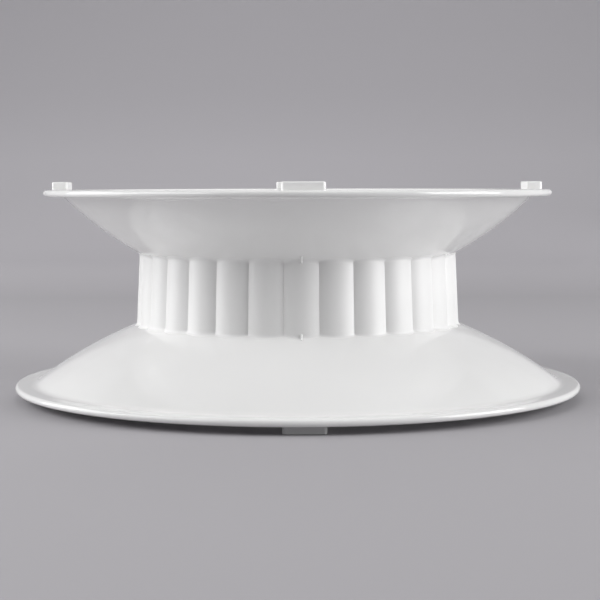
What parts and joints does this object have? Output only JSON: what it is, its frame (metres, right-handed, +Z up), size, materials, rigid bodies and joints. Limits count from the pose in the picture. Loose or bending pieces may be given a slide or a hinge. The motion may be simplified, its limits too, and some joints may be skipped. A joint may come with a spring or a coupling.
{
  "type": "display pedestal",
  "caption": "Reversible round display pedestal: a wide lower dish and a smaller upper dish, joined by a fluted collar and a twist lock, with rest pads on both rims.",
  "frame": {"origin": "on the floor under the centre: the plane of the four foot pads' faces, on the common axis", "axes": "+Z up along the axis of both dishes and the collar; -Y is the front, where the index marks, one flute crest and one pad of each rim line up; +X is to the right"},
  "size_m": [0.254, 0.254, 0.0959],
  "materials": {
    "lower_dish": "smooth moulded gloss",
    "upper_dish": "smooth moulded gloss",
    "collar": "smooth moulded gloss",
    "pad": "smooth moulded gloss"
  },
  "bodies": {
    "stand": {"lower_dish": "lower_dish", "fluted_collar": "collar", "foot_pad_right": "pad", "foot_pad_back": "pad", "foot_pad_left": "pad", "foot_pad_front": "pad"},
    "top": {"upper_dish": "upper_dish", "tray_pad_right": "pad", "tray_pad_back": "pad", "tray_pad_left": "pad", "tray_pad_front": "pad"}
  },
  "joints": [
    {"name": "twist_lock", "type": "hinge", "parent": "stand", "child": "top", "pos_m": [0, 0, 0.0424], "axis": [0, 0, 1], "range_deg": [0, 30]}
  ]
}
